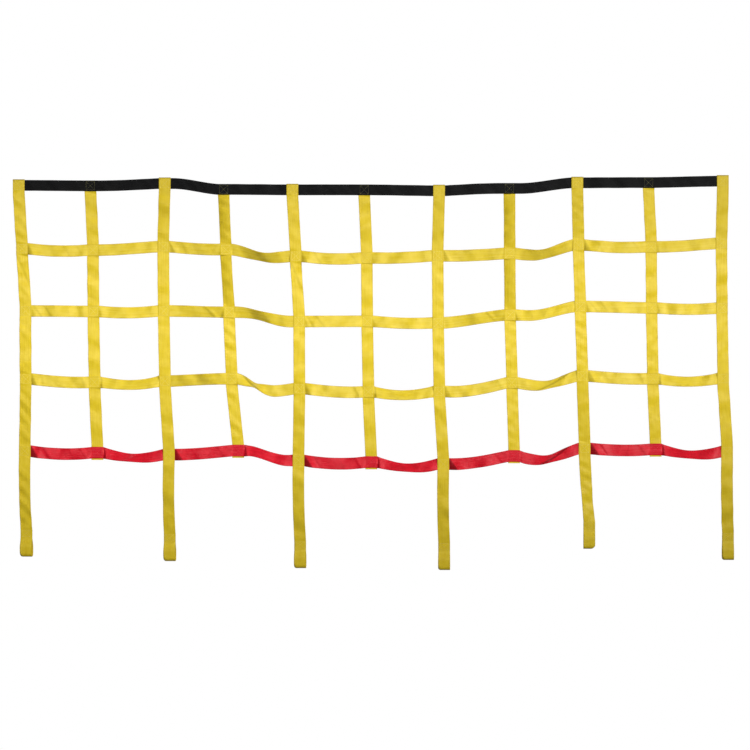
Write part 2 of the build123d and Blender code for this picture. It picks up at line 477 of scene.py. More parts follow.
@dataclass(frozen=True)
class Span:
    """How the webbing hangs between two sewn patches.

    Attributes:
        sag: how far the centre line bends away from straight, in millimetres.
        low: where along the span it is furthest away, as a share.
        fall: where the second end's height is taken up, as the start and end shares.
        lean: how far the webbing turns about its own length, in degrees. Plus turns its face up or right.
        lean_at: where the lean is greatest.
        lean_over: how much of the span leans.
        pivot: the line across the width that stays put as it leans, from -1 to 1.
        near: the slope at which it comes out of its first patch.
        far: the slope at which it goes into its second.
        out: how far the whole span stands out towards the climber, in millimetres.
        bow: how far the middle of its width stands out from its edges, in millimetres.
        pinch: how deep a valley runs across it just after its first patch and just before its second.
        creases: the fold lines across it.
    """

    sag: float = 0.0
    low: float = 0.5
    fall: tuple[float, float] = (-0.25, 1.25)
    lean: float = 4.0
    lean_at: float = 0.5
    lean_over: float = 1.0
    pivot: float = 0.0
    near: float = 0.35
    far: float = 0.35
    out: float = 2.0
    bow: float = 0.6
    pinch: tuple[float, float] = (0.0, 0.0)
    creases: tuple[Crease, ...] = ()


def smooth_step(values: np.ndarray) -> np.ndarray:
    """3 v^2 - 2 v^3, with v held between 0 and 1."""
    held = np.clip(values, 0.0, 1.0)
    return held * held * (3.0 - 2.0 * held)


def soft_least(values: Sequence[np.ndarray], sharpness: float = 5.0) -> np.ndarray:
    """A smooth minimum of positive values: the power mean whose power is minus the sharpness, unaveraged."""
    total = sum(np.maximum(v, 1e-4) ** -sharpness for v in values)
    return total ** (-1.0 / sharpness)


def span_shape(span: Span, share: np.ndarray) -> tuple[np.ndarray, np.ndarray]:
    """How the centre line of a span runs between its ends.

    Args:
        span: the span.
        share: how far along the span each place is, from 0 to 1.

    Returns:
        The share of the way from the first end's offset to the second's, which is a smooth step stretched
        over the span's fall, and the sag, which is a parabola skewed so that it is greatest at low.
    """
    start, end = span.fall
    steps = smooth_step((share - start) / (end - start))
    first, last = smooth_step(np.array([-start, 1.0 - start]) / (end - start))
    skewed = share ** (math.log(0.5) / math.log(span.low))
    return (steps - first) / (last - first), span.sag * 4.0 * skewed * (1.0 - skewed)


@dataclass
class Ribbon:
    """A strap of webbing as one surface of two parameters: the way along it and the way across it."""

    centre: np.ndarray
    across: np.ndarray
    width: float
    seed: int
    thickness: float = 1.9
    columns: int = 15
    ripple: float = 1.3
    shift: np.ndarray = field(init=False)
    stand: np.ndarray = field(init=False)
    marks: dict[str, np.ndarray] = field(init=False)

    # Points in the half circle of a selvedge, how much thicker and how wide its bead is as shares of the
    # thickness and half width, and how far in from the selvedge its rim reads the finish.
    EDGE_STEPS = 3
    BEAD = 0.16
    BEAD_FROM, BEAD_OVER = 0.84, 0.1
    RIM = 0.2
    # How soft the rim of a sewn patch is.
    SEWN_RIM = 3.0
    # How far a leaning edge may stand out, the greatest sine of its lean, and the least arm it turns on.
    REACH = 16.0
    STEEPEST = 0.999
    LEAST_ARM = 0.01
    # How far from a patch the bow and the ripples reach their full height.
    EASE = 40.0
    # How far from a patch a pinch's valley lies, and its breadth as a share of that.
    VALLEY = 5.0
    VALLEY_BREADTH = 0.7
    # How sharp a crease's corner is, the limit of its two slopes, and its feet at the first and second patch.
    CREASE_SHARPNESS = 7.0
    SLOPE_LIMIT = 9.0
    CREASE_FEET = (4.0, 20.0)
    # Where the painted shade ends beside a crease's line, and how much of the slope up it fades in over.
    WORN_RIM, WORN_PAST, WORN_RISE = 5.0, 0.7, 0.25
    # Ripples: the least and greatest length, the greatest slant, the length whose height is the strap's
    # ripple, and how nearly full and how high a zigzag is.
    RIPPLE_LENGTHS = (45.0, 150.0)
    RIPPLE_SLANT = 1.1
    RIPPLE_USUAL = 110.0
    ZIGZAG, ZIGZAG_HEIGHT = 0.97, 0.7

    def __post_init__(self) -> None:
        """Work out distances along the strap, its directions and a flat surface to start from."""
        steps = np.linalg.norm(np.diff(self.centre, axis=0), axis=1)
        self.along = np.concatenate([[0.0], np.cumsum(steps)])
        tangent = np.gradient(self.centre, axis=0)
        self.tangent = tangent / np.linalg.norm(tangent, axis=1, keepdims=True)
        normal = np.cross(self.tangent, self.across)
        self.normal = normal / np.linalg.norm(normal, axis=1, keepdims=True)
        edge = 1.0 - self.thickness / self.width
        self.places = np.linspace(-edge, edge, self.columns)
        half = self.width / 2
        self.shift = np.tile(self.places * half, (len(self.centre), 1))
        self.stand = np.zeros_like(self.shift)
        # Marks that the finish reads: where thread covers the webbing, painted shade on folds, and painted sheen on
        # the spans of cross straps.
        self.marks = {name: np.zeros_like(self.shift) for name in ("sewn", "painted_fold_shade", "painted_sheen_and_shade")}

    def sew(self, at: float, half_along: float, half_across: float) -> None:
        """Mark the flat patch that thread covers, with a soft rim.

        Args:
            at: distance along the strap of the patch's middle.
            half_along: half its length.
            half_across: half its breadth.
        """
        rows = smooth_step((half_along - np.abs(self.along - at)) / self.SEWN_RIM + 0.5)
        columns = smooth_step((half_across - np.abs(self.places) * self.width / 2) / self.SEWN_RIM + 0.5)
        self.marks["sewn"] = np.maximum(self.marks["sewn"], rows[:, None] * columns[None, :])

    def hang(self, span: Span, first: float, last: float) -> None:
        """Lean, bow and ripple the stretch between two patches.

        A point turns about the pivot line until it leans as far as the span does there, or until it has come
        as far out as the slopes out of the two patches allow, whichever is less. That leaves the slanted
        creases that flat webbing shows beside a sewn patch. The lean fades to both sides of its greatest
        place as a bell curve. The bow is 1 - u^2 across the width, and the ripple is a sum of slanted sines.
        The pivot moves in from an edge where the other edge would stand out further than REACH. A pinch is a
        bell curve too, and the span's own standing out is a parabola.

        Args:
            span: how the stretch hangs.
            first: distance along the strap at which the first patch ends.
            last: distance at which the second patch starts.
        """
        rows = (self.along > first) & (self.along < last)
        from_first = (self.along[rows] - first)[:, None]
        to_last = (last - self.along[rows])[:, None]
        share = from_first / (last - first)
        half = self.width / 2
        sine = abs(math.sin(math.radians(span.lean)))
        furthest = max(self.REACH / (half * sine) - 1.0, 0.0)
        pivot = math.copysign(min(abs(span.pivot), furthest), span.pivot)
        arm = half * np.abs(pivot - self.places)[None, :] + self.LEAST_ARM
        lean = sine * np.exp(-(((share - span.lean_at) / span.lean_over) ** 2) * 2.0)
        least = [span.near * from_first / arm, span.far * to_last / arm, lean + 0.0 * arm]
        turned = np.clip(soft_least(least), 0.0, self.STEEPEST)
        side = np.sign(pivot - self.places)[None, :] * math.copysign(1.0, span.lean)
        rise = smooth_step(from_first / self.EASE) * smooth_step(to_last / self.EASE)
        stand = side * arm * turned
        stand = stand + span.out * 4.0 * share * (1.0 - share)
        stand = stand + span.bow * (1.0 - self.places[None, :] ** 2) * rise
        stand = stand + self._ripples(rows, half) * rise
        for depth, gone in zip(span.pinch, (from_first, to_last)):
            breadth = self.VALLEY_BREADTH * self.VALLEY
            stand = stand - depth * np.exp(-(((gone - self.VALLEY) / breadth) ** 2))
        for crease in span.creases:
            height, painted_sheen_and_shade = self._crease(crease, from_first, last - first)
            stand = stand + height
            # Painted shade on the slope before each crease.
            self.marks["painted_fold_shade"][rows] = np.maximum(self.marks["painted_fold_shade"][rows], painted_sheen_and_shade)
        self.shift[rows] = half * self.places[None, :] * np.sqrt(1.0 - turned**2)
        self.stand[rows] = stand

    def _crease(self, crease: Crease, gone: np.ndarray, reach: float) -> tuple[np.ndarray, np.ndarray]:
        """Fold the webbing along one slanted line.

        The height is the line's own height times the lesser of two straight slopes, up to the line and down
        from it, with the corner rounded by a soft minimum and the feet by a smooth step. The slope up starts
        no earlier than the patch.

        Args:
            crease: the fold line.
            gone: the way from the first patch at each row.
            reach: the length of the stretch.

        Returns:
            How far each point stands out for it, and how much painted shade darkens the webbing there.
        """
        share = (1.0 + self.places[None, :]) / 2
        start, end = (place if place >= 0 else reach + place for place in (crease.start, crease.end))
        line = start + (end - start) * share
        height = crease.heights[0] + (crease.heights[1] - crease.heights[0]) * share
        up = 1.0 + (gone - line) / np.minimum(crease.before, np.maximum(line, 1.0))
        down = 1.0 - (gone - line) / crease.after
        slopes = [np.clip(slope, 0.0, self.SLOPE_LIMIT) for slope in (up, down)]
        both = soft_least(slopes, self.CREASE_SHARPNESS)
        foot, toe = self.CREASE_FEET
        ends = smooth_step(gone / foot) * smooth_step((reach - gone) / toe)
        # Painted shade on the slope up to the line, fading in from its foot and out just past the line.
        painted_sheen_and_shade = smooth_step((line - gone) / self.WORN_RIM + self.WORN_PAST) * smooth_step(up / self.WORN_RISE)
        return height * both * ends, crease.painted_sheen_and_shade * painted_sheen_and_shade

    def _ripples(self, rows: np.ndarray, half: float) -> np.ndarray:
        """Small slanted ripples and creases that slack webbing keeps from its packing.

        Each is a wave across a slanted line. Half of them are the arc sine of nearly a full sine, which is a
        zigzag with soft corners, and shows as flat facets between creases.

        Args:
            rows: which rows to work out.
            half: half the strap's width.

        Returns:
            How far each point stands out.
        """
        draw = np.random.default_rng(self.seed)
        total = np.zeros((int(rows.sum()), self.columns))
        for creased in (False, True, False, True, False, True):
            length = draw.uniform(*self.RIPPLE_LENGTHS)
            slant = draw.uniform(-self.RIPPLE_SLANT, self.RIPPLE_SLANT)
            start = draw.uniform(0.0, TURN)
            where = self.along[rows][:, None] + slant * half * self.places[None, :]
            wave = np.sin(where * (TURN / length) + start)
            if creased:
                wave = np.arcsin(self.ZIGZAG * wave) * self.ZIGZAG_HEIGHT
            total += wave * self.ripple * (length / self.RIPPLE_USUAL)
        return total

    def surface(self) -> np.ndarray:
        """Points of the strap's middle surface, in rows along it and columns across it."""
        out = self.centre[:, None, :] + self.across[:, None, :] * self.shift[:, :, None]
        return out + self.normal[:, None, :] * self.stand[:, :, None]

    def shell(self) -> "Shell":
        """Give the middle surface its thickness.

        The surface's own normal, from the cross product of its two slopes, carries the front and the back
        half the thickness out, a little more beside the selvedges. Each edge is closed by a half circle.

        Returns:
            The strap's outside.
        """
        middle = self.surface()
        slope_along = np.gradient(middle, axis=0)
        slope_across = np.gradient(middle, axis=1)
        normal = np.cross(slope_along, slope_across)
        normal /= np.linalg.norm(normal, axis=2, keepdims=True)
        slope_across /= np.linalg.norm(slope_across, axis=2, keepdims=True)
        bead = 1.0 + self.BEAD * smooth_step((np.abs(self.places) - self.BEAD_FROM) / self.BEAD_OVER)
        half = (self.thickness / 2 * bead)[None, :, None]
        front, back = middle + normal * half, middle - normal * half
        angles = np.linspace(0.0, math.pi, self.EDGE_STEPS + 2)[1:-1]

        def rounding(column: int, sign: float) -> np.ndarray:
            """Points of the half circle that closes one edge."""
            turns = angles if sign > 0 else angles[::-1]
            reach = self.thickness / 2 * bead[column]
            outward = slope_across[:, column, None, :] * (sign * np.sin(turns))[None, :, None]
            facing = normal[:, column, None, :] * np.cos(turns)[None, :, None]
            return middle[:, column, None, :] + (outward + facing) * reach

        points = np.concatenate([front, rounding(-1, 1.0), back[:, ::-1], rounding(0, -1.0)], axis=1)
        flat = (self.places + 1.0) * self.width / 2
        right = np.full(self.EDGE_STEPS, self.width - self.RIM)
        left = np.full(self.EDGE_STEPS, self.RIM)
        across = np.concatenate([flat, right, flat[::-1], left])
        edge = np.zeros((len(points), self.EDGE_STEPS))
        marks = {name: np.concatenate([m, edge, m[:, ::-1], edge], axis=1) for name, m in self.marks.items()}
        return Shell(points, across, self.along, marks)


@dataclass
class Shell:
    """The outside of a strap, in rows along it that each go once round it.

    Attributes:
        points: the points, in millimetres.
        across: the way across the webbing at each point of a row.
        along: the way along it at each row.
        marks: named values between 0 and 1 that the finish reads, one at every point.
    """

    points: np.ndarray
    across: np.ndarray
    along: np.ndarray
    marks: dict[str, np.ndarray]

    def part(self, first: int, last: int) -> "Shell":
        """The stretch from one row to another, both kept."""
        rows = slice(first, last + 1)
        marks = {name: values[rows] for name, values in self.marks.items()}
        return Shell(self.points[rows], self.across, self.along[rows], marks)

    def length(self) -> float:
        """How much webbing there is in it, in metres."""
        return float(self.along[-1] - self.along[0]) * MM

    def build(self, name: str) -> bpy.types.Object:
        """Make a closed mesh of it, with flat ends, as an object of that name."""
        rows, ring = self.points.shape[:2]
        row, step = np.meshgrid(np.arange(rows - 1), np.arange(ring), indexing="ij")
        after = (step + 1) % ring
        corners = [row * ring + step, (row + 1) * ring + step, (row + 1) * ring + after, row * ring + after]
        quads = np.stack(corners, axis=2).reshape(-1, 4)
        caps = [list(range(ring)), list(range((rows - 1) * ring, rows * ring))[::-1]]
        mesh = bpy.data.meshes.new(name)
        mesh.from_pydata((self.points.reshape(-1, 3) * MM).tolist(), [], quads.tolist() + caps)
        index = np.zeros(len(mesh.loops), np.int32)
        mesh.loops.foreach_get("vertex_index", index)
        uv = np.stack([np.tile(self.across, rows), np.repeat(self.along, ring)], axis=1)[index] * MM
        mesh.uv_layers.new(name="webbing").data.foreach_set("uv", uv.astype(np.float32).ravel())
        for mark, values in self.marks.items():
            layer = mesh.attributes.new(mark, "FLOAT", "POINT")
            layer.data.foreach_set("value", values.astype(np.float32).ravel())
        ends = np.zeros(len(mesh.edges) * 2, np.int32)
        mesh.edges.foreach_get("vertices", ends)
        ends = ends.reshape(-1, 2) // ring
        sharp = (ends[:, 0] == ends[:, 1]) & ((ends[:, 0] == 0) | (ends[:, 0] == rows - 1))
        mesh.edges.foreach_set("use_edge_sharp", sharp)
        smooth = np.ones(len(mesh.polygons), bool)
        smooth[-2:] = False
        mesh.polygons.foreach_set("use_smooth", smooth)
        mesh.update()
        return add_object(name, mesh)


def dress(piece: bpy.types.Object, material: bpy.types.Material) -> None:
    """Give a piece its material."""
    piece.data.materials.append(material)


def webbing_piece(
    shell: Shell, name: str, width: float, material: bpy.types.Material
) -> bpy.types.Object:
    """Make a dressed piece of a strap's outside, and log how much webbing it holds."""
    piece = shell.build(name)
    dress(piece, material)
    width * MM
    shell.length()
    LOG.info("%s: %.3f m of webbing", piece.name, shell.length())
    return piece


def stations(knots: Sequence[float], pitch: float) -> np.ndarray:
    """Evenly spaced places between knots, with every knot kept.

    Args:
        knots: places that have to be in the list, in order, rising or falling.
        pitch: the greatest distance between two places.

    Returns:
        The places.
    """
    parts = [np.array([float(knots[0])])]
    for start, end in zip(knots[:-1], knots[1:]):
        count = max(1, math.ceil(abs(end - start) / pitch))
        parts.append(np.linspace(start, end, count + 1)[1:])
    return np.concatenate(parts)


def soften(values: np.ndarray, reach: int = 3) -> np.ndarray:
    """A running average of a line of values, weighted as a triangle, that keeps both ends where they are."""
    weights = np.concatenate([np.arange(1, reach + 2), np.arange(reach, 0, -1)]).astype(float)
    before = 2 * values[0] - values[reach:0:-1]
    after = 2 * values[-1] - values[-2 : -reach - 2 : -1]
    return np.convolve(np.concatenate([before, values, after]), weights / weights.sum(), mode="valid")


# ---- Sub-assemblies ----

# Half the length of the patch that the thread holds flat at a crossing.
PATCH_HALF = 23.0
# Half the side of the square that the thread covers.
SEWN_HALF = 19.0
# The distance between the middles of two plies that lie on each other.
PLY = 2.0
# The greatest distance between two rows of points along a strap.
ROW_PITCH = 3.2
# What the straps' numbers are added to for the seeds of their ripples.
SEED_CROSS_STRAPS = 100
SEED_UPRIGHTS = 200


@dataclass
class CrossStrap:
    """A horizontal strap, whole across the net."""

    row: int
    node: str
    body: str
    slot: str
    finish: WebbingFinish
    spans: Sequence[Span]
    plan: NetPlan
    ripple: float = 1.7

    def build(self, material: bpy.types.Material) -> bpy.types.Object:
        """Make the strap, whose centre line is level at each crossing and a span's own curve between two.

        Args:
            material: the webbing.

        Returns:
            The piece.
        """
        places = self.plan.crossings[self.row]
        low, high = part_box(self.node)
        knots = [low.x / MM]
        for x, _ in places:
            knots += [x - PATCH_HALF, x + PATCH_HALF]
        knots[1], knots[-1] = places[0][0], places[-1][0]
        knots.append(high.x / MM)
        xs = stations(knots, ROW_PITCH)
        zs = np.interp(xs, places[:, 0], places[:, 1])
        limits = []
        for n, span in enumerate(self.spans):
            first, last = places[n][0] + PATCH_HALF, places[n + 1][0] - PATCH_HALF
            inside = (xs > first) & (xs < last)
            steps, sag = span_shape(span, (xs[inside] - first) / (last - first))
            zs[inside] = places[n][1] + (places[n + 1][1] - places[n][1]) * steps - sag
            limits.append((first, last))
        for x, z in places:
            zs[np.abs(xs - x) <= PATCH_HALF + 0.01] = z
        centre = np.stack([xs, np.zeros_like(xs), soften(zs)], axis=1)
        across = np.tile([0.0, 0.0, 1.0], (len(xs), 1))
        ribbon = Ribbon(centre, across, self.finish.width, seed=SEED_CROSS_STRAPS + self.row, ripple=self.ripple)
        for span, (first, last) in zip(self.spans, limits):
            start, end = np.interp([first, last], xs, ribbon.along)
            ribbon.hang(span, start, end)
            # Painted sheen: every span between patches is lightened towards the sheen colour.
            ribbon.marks["painted_sheen_and_shade"][(ribbon.along > start) & (ribbon.along < end)] = 1.0
        for number, (x, _) in enumerate(places, 1):
            if self.plan.lie(number) is Lie.REAR:
                ribbon.sew(float(np.interp(x, xs, ribbon.along)), SEWN_HALF, SEWN_HALF)
        name = self.node.replace("_strap", "_webbing")
        piece = webbing_piece(ribbon.shell(), name, self.finish.width, material)
        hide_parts(self.node)
        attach(piece, self.body)
        return piece


@dataclass
class Upright:
    """One upright strap: wrapped over or sewn behind the header, down through every row, with its tail."""

    number: int
    spans: Sequence[Span]
    plan: NetPlan
    fan: float = 1.2
    corner: float = 11.0
    corner_side: float = -1.0

    WIDTH = 50.0
    HEADER_HALF = 23.0
    # How long an eye's seam is, and how far its lower end lies above the eye's bottom.
    SEAM = 33.0
    EYE_DROP = 83.0
    # Heights of a bend zone at each joint, which are worked out but not used; those of the tail are from its hinge.
    BEND = (-26.0, -72.0)
    FOLD = (-636.0, -720.0)
    TAIL_BEND = (3.0, -38.0)
    # Heights closer than this are one.
    SAME = 0.5
    # How far down from the header's top edge the fold over it is darkened by painted shade, since that fold turns
    # away from the light.
    PAINTED_FOLD_SHADE_DROP = 2.6
    # Where a crushed corner's lift ends above the eye's bottom and how far it fades over, in its radii.
    CORNER_FADE = (3.0, 2.5)
    # Steps of the half circles over the header and round the eye.
    OVER_STEPS = 8
    ROUND_STEPS = 16
    # The share of the way from the seam to the eye's middle over which its sides open.
    OPENS_OVER = 0.65

    def __post_init__(self) -> None:
        """Work out the layer that the strap hangs in."""
        self.long = self.plan.lie(self.number) is Lie.FRONT
        self.layer = -PLY if self.long else PLY
        self.key = f"{self.number:02d}"
        self.tail_body = f"tail_{self.key}_body"

    def _eye_middle(self) -> np.ndarray:
        """The middle of the tail's eye."""
        return self.plan.eyes[f"tail_{self.key}_eye"]

    def _main(self) -> tuple[np.ndarray, np.ndarray]:
        """The hanging length of the strap, from the header's top edge down.

        Returns:
            The centre line, and the heights between which each span hangs.
        """
        rows = self.plan.crossings[:, self.number - 1]
        top = rows[0, 1] + self.HEADER_HALF
        edges = [(z + PATCH_HALF, z - PATCH_HALF) for _, z in rows]
        edges[0] = (top, edges[0][1])
        low, end_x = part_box(f"strap_{self.key}_lower")[0].z / MM, rows[-1, 0]
        if self.long:
            eye = self._eye_middle()
            low, end_x = eye[2] - self.plan.eye_radius - PLY + self.EYE_DROP + self.SEAM, eye[0]
        knots = [top]
        for (high, down), (_, z) in zip(edges, rows):
            knots += [high, z, down]
        knots = [k for n, k in enumerate(knots) if n == 0 or k < knots[n - 1] - self.SAME]
        knots = [k for k in knots if k > low] + [low]
        zs = stations(knots, ROW_PITCH)
        at = [top] + [z for pair in edges for z in pair] + [low]
        xs_at = [rows[0, 0]] + [x for x, _ in rows for _ in (0, 1)] + [end_x]
        order = np.argsort(at)
        xs = np.interp(zs, np.array(at)[order], np.array(xs_at)[order])
        limits = [(a[1], b[0]) for a, b in zip(edges[:-1], edges[1:])]
        if self.long:
            limits.append((edges[-1][1], low))
        for span, (high, down) in zip(self.spans, limits):
            inside = (zs < high) & (zs > down)
            _, sag = span_shape(span, (high - zs[inside]) / (high - down))
            xs[inside] -= sag
        centre = np.stack([soften(xs), np.full_like(zs, self.layer), zs], axis=1)
        return centre, np.array(limits)

    def _fold(self) -> np.ndarray:
        """The wrap over the header: up behind it, over its top edge in a half circle, to the front leg."""
        x, z = self.plan.crossing(0, self.number)
        top = z + self.HEADER_HALF
        rise = stations([z - self.HEADER_HALF, top], ROW_PITCH)
        behind = np.stack([np.full_like(rise, x), np.full_like(rise, PLY), rise], axis=1)
        turn = np.linspace(0.0, math.pi, self.OVER_STEPS + 1)[1:-1]
        over = np.stack([np.full_like(turn, x), PLY * np.cos(turn), top + PLY * np.sin(turn)], axis=1)
        return np.concatenate([behind, over])

    def _eye(self, start: np.ndarray) -> np.ndarray:
        """The open loop at the tail's end: down the front of a teardrop, round its bottom and up the back.

        The sides lean out to meet the circle smoothly: a smooth step from the seam to the circle's width. The
        two plies fan apart sideways, most at the bottom.

        Args:
            start: the last point of the single ply, at the top of the seam.

        Returns:
            The centre line from there on.
        """
        eye = self._eye_middle()
        radius = self.plan.eye_radius + PLY / 2
        middle_y = -PLY / 2
        seam_low = start[2] - self.SEAM
        down = stations([start[2], seam_low, eye[2]], ROW_PITCH)[1:]
        opening = smooth_step((seam_low - down) / (seam_low - eye[2]) / self.OPENS_OVER)
        half = PLY / 2 + (radius - PLY / 2) * opening
        sideways = self.fan * opening
        front = np.stack([eye[0] - sideways, middle_y - half, down], axis=1)
        turn = np.linspace(0.0, math.pi, self.ROUND_STEPS + 1)[1:-1]
        cos, sin = np.cos(turn), np.sin(turn)
        bottom = np.stack([eye[0] - self.fan * cos, middle_y - radius * cos, eye[2] - radius * sin], axis=1)
        back = np.stack([eye[0] + sideways, middle_y + half, down], axis=1)[::-1]
        return np.concatenate([front, bottom, back])

    def _pieces(self, centre: np.ndarray) -> list[tuple[str, int, int]]:
        """Where the strap is cut into pieces: at the first and at the third cross strap.

        Args:
            centre: the whole centre line.

        Returns:
            The name, first row and last row of each piece.
        """
        heights = centre[:, 2]
        start = int(np.argmax(heights))
        hanging = heights[start : int(np.argmin(heights))] if self.long else heights[start:]
        crossings = [self.plan.crossing(row, self.number)[1] for row in (1, 3)]
        first, second = (start + int(np.argmin(np.abs(hanging - height))) for height in crossings)
        return [("top", 0, first), ("middle", first, second), ("foot", second, len(centre) - 1)]

    def build(self, material: bpy.types.Material) -> list[bpy.types.Object]:
        """Make the strap's three pieces.

        Args:
            material: the webbing.

        Returns:
            The pieces.
        """
        main, limits = self._main()
        centre = main
        offset = 0
        if self.long:
            fold = self._fold()
            offset = len(fold)
            centre = np.concatenate([fold, main, self._eye(main[-1])])
        across = np.tile([1.0, 0.0, 0.0], (len(centre), 1))
        ribbon = Ribbon(centre, across, self.WIDTH, seed=SEED_UPRIGHTS + self.number)
        main_along = ribbon.along[offset : offset + len(main)]
        for span, (high, down) in zip(self.spans, limits):
            start, end = np.interp([-high, -down], -main[:, 2], main_along)
            ribbon.hang(span, start, end)
        if self.long:
            for _, z in self.plan.crossings[1:, self.number - 1]:
                ribbon.sew(float(np.interp(-z, -main[:, 2], main_along)), SEWN_HALF, SEWN_HALF)
            ribbon.sew(float(main_along[-1]) + self.SEAM / 2, self.SEAM / 2, SEWN_HALF)
            # Painted shade on the fold over the header's top edge.
            painted_fold_shade_rows = np.abs(centre[:, 2] - centre[:, 2].max()) < self.PAINTED_FOLD_SHADE_DROP
            ribbon.marks["painted_fold_shade"][painted_fold_shade_rows] = 1.0
        shell = ribbon.shell()
        if self.long:
            self._round_corner(shell.points)
        pieces = []
        for part, first, last in self._pieces(centre):
            name = f"upright_{self.key}_{part}"
            pieces.append(webbing_piece(shell.part(first, last), name, self.WIDTH, material))
        self._attach(pieces)
        return pieces

    def _round_corner(self, points: np.ndarray) -> None:
        """Draw up one bottom corner of the eye, where the folded webbing is crushed to a quarter circle.

        The lift of a point is how far a circle of the corner's radius has risen at its distance from the side
        edge, and it fades out by a smooth step above the bottom.

        Args:
            points: the shell's points, changed in place.
        """
        eye = self._eye_middle()
        low = eye[2] - self.plan.eye_radius
        inward = self.WIDTH / 2 + self.fan - (points[..., 0] - eye[0]) * self.corner_side
        gone = np.clip(self.corner - inward, 0.0, self.corner)
        rise = self.corner - np.sqrt(self.corner**2 - gone**2)
        top, over = self.CORNER_FADE
        fade = smooth_step((low + top * self.corner - points[..., 2]) / (over * self.corner))
        points[..., 2] += rise * fade

    def _attach(self, pieces: Sequence[bpy.types.Object]) -> None:
        """Hide the CAD nodes that the pieces stand in for, bake each piece's transform into its mesh, and hang a
        short upright's foot on the lower net.
        """
        top, middle, foot = pieces
        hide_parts(f"strap_{self.key}_top")
        start, end = ((0, 0, height * MM) for height in self.BEND)
        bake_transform(top)
        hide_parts(f"strap_{self.key}_upper")
        start, end = ((0, 0, height * MM) for height in self.FOLD)
        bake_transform(middle)
        if not self.long:
            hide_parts(f"strap_{self.key}_lower")
            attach(foot, "lower_net")
            return
        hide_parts(f"strap_{self.key}_lower", f"tail_{self.key}")
        hinge = self.plan.hinges[self.tail_body][2]
        start, end = ((0, 0, (hinge + height) * MM) for height in self.TAIL_BEND)
        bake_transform(foot)


